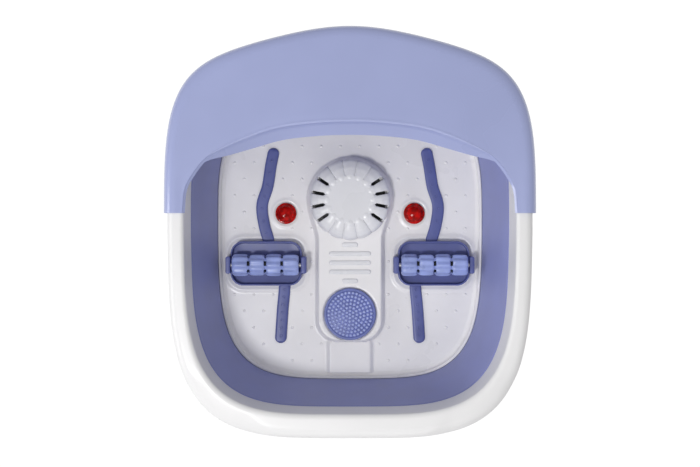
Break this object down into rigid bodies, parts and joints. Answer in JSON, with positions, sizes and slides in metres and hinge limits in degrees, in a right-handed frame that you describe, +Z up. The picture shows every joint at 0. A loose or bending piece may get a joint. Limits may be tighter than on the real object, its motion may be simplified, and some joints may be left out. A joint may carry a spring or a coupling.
{
  "type": "foot spa basin",
  "caption": "Collapsible foot spa basin with a rigid rim, soft wall, lift-off splash guard, knobbed rollers, air channels and a round foot pad.",
  "frame": {"origin": "on the ground under the middle of the basin, bottom centre of its box", "axes": "+Z up, +Y towards the toe side with the splash guard, +X to the right of a user who faces the toe side"},
  "size_m": [0.3722, 0.4126, 0.2083],
  "materials": {
    "rim_white": "satin moulded white",
    "base_white": "satin moulded white",
    "guard_lavender": "satin moulded lavender",
    "wall_silicone": "soft matte blue-violet",
    "channel_blue": "satin moulded blue",
    "roller_blue": "satin moulded blue",
    "pad_blue": "soft matte blue",
    "lens_red": "clear red",
    "window_clear": "clear",
    "lamp_glass": "clear",
    "seal_dark": "matte",
    "black_plastic": "matte",
    "steel": "satin",
    "motor_steel": "satin",
    "heater_metal": "satin",
    "board_green": "satin"
  },
  "bodies": {
    "base": {"base_pan": "base_white", "base_housing": "base_white", "bottom_plate": "base_white", "control_pod": "base_white", "lower_clamp_ring": "base_white", "bellows_wall": "wall_silicone", "base_gasket": "seal_dark", "blower_housing": "black_plastic", "blower_motor": "motor_steel", "vibration_motor": "motor_steel", "heater_plate": "heater_metal", "thermostat": "motor_steel", "control_board": "board_green", "selector_switch": "black_plastic", "indicator_window": "window_clear", "cord_gland": "black_plastic", "left_bubble_channel": "channel_blue", "left_roller_axle": "steel", "left_infrared_lens": "lens_red", "left_lens_gasket": "seal_dark", "left_infrared_lamp": "lamp_glass", "left_air_hose": "seal_dark", "right_bubble_channel": "channel_blue", "right_roller_axle": "steel", "right_infrared_lens": "lens_red", "right_lens_gasket": "seal_dark", "right_infrared_lamp": "lamp_glass", "right_air_hose": "seal_dark", "bottom_screw_1": "steel", "bottom_screw_2": "steel", "bottom_screw_3": "steel", "bottom_screw_4": "steel", "bottom_screw_5": "steel", "bottom_screw_6": "steel", "rubber_foot_1": "seal_dark", "rubber_foot_2": "seal_dark", "rubber_foot_3": "seal_dark", "rubber_foot_4": "seal_dark"},
    "rim": {"upper_rim": "rim_white", "upper_clamp_ring": "rim_white"},
    "guard": {"splash_guard": "guard_lavender"},
    "left_barrel": {"left_roller": "roller_blue"},
    "right_barrel": {"right_roller": "roller_blue"},
    "pad": {"pedicure_pad": "pad_blue"},
    "cap": {"circulation_cap": "base_white"},
    "knob": {"selector_knob": "roller_blue"},
    "blower_rotor": {"blower_impeller": "base_white", "motor_shaft": "steel"},
    "vibrator_rotor": {"eccentric_weight": "steel"}
  },
  "joints": [
    {"name": "rim_collapse", "type": "slide", "parent": "base", "child": "rim", "axis": [0, 0, -1], "range_m": [0, 0.09], "deforming": ["bellows_wall"]},
    {"name": "splash_guard_lift", "type": "slide", "parent": "rim", "child": "guard", "axis": [0, 0, 1], "range_m": [0, 0.06]},
    {"name": "left_roller_spin", "type": "hinge", "parent": "base", "child": "left_barrel", "pos_m": [-0.09125, -0.0354, 0.0915], "axis": [1, 0, 0], "continuous": true},
    {"name": "right_roller_spin", "type": "hinge", "parent": "base", "child": "right_barrel", "pos_m": [0.09125, -0.0354, 0.0915], "axis": [1, 0, 0], "continuous": true},
    {"name": "pedicure_pad_lift", "type": "slide", "parent": "base", "child": "pad", "axis": [0, 0, 1], "range_m": [0, 0.03]},
    {"name": "circulation_cap_lift", "type": "slide", "parent": "base", "child": "cap", "axis": [0, 0, 1], "range_m": [0, 0.03]},
    {"name": "selector_turn", "type": "hinge", "parent": "base", "child": "knob", "pos_m": [-0.022, 0.161, 0.039], "axis": [0, 1, 0], "range_deg": [0, 270]},
    {"name": "blower_spin", "type": "hinge", "parent": "base", "child": "blower_rotor", "pos_m": [0, 0.0352, 0.045], "axis": [0, 0, 1], "continuous": true},
    {"name": "vibrator_spin", "type": "hinge", "parent": "base", "child": "vibrator_rotor", "pos_m": [0.02, -0.11, 0.044], "axis": [1, 0, 0], "continuous": true}
  ]
}
